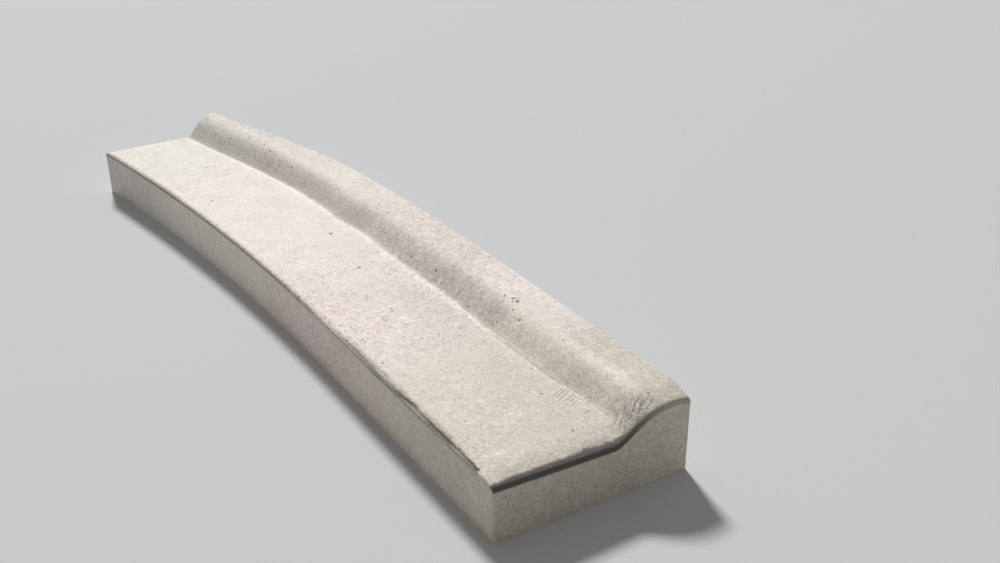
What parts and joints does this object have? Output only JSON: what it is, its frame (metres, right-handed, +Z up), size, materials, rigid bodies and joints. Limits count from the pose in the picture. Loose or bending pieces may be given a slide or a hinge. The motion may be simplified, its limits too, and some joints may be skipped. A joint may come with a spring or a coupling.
{
  "type": "rolled concrete kerb and gutter",
  "caption": "Rolled kerb and gutter length cast in one piece of concrete: a flat gutter pan, a smooth rolled face and a low head, gently bent along its length.",
  "frame": {"origin": "centre of the bounding box at the flat underside", "axes": "+X along the kerb towards the driveway joint, +Y towards the back of the kerb, +Z up"},
  "size_m": [2.9426, 0.7744, 0.2413],
  "materials": {
    "concrete": "trowelled and lightly broomed, matt"
  },
  "bodies": {
    "root": {"kerb": "concrete"}
  },
  "joints": []
}
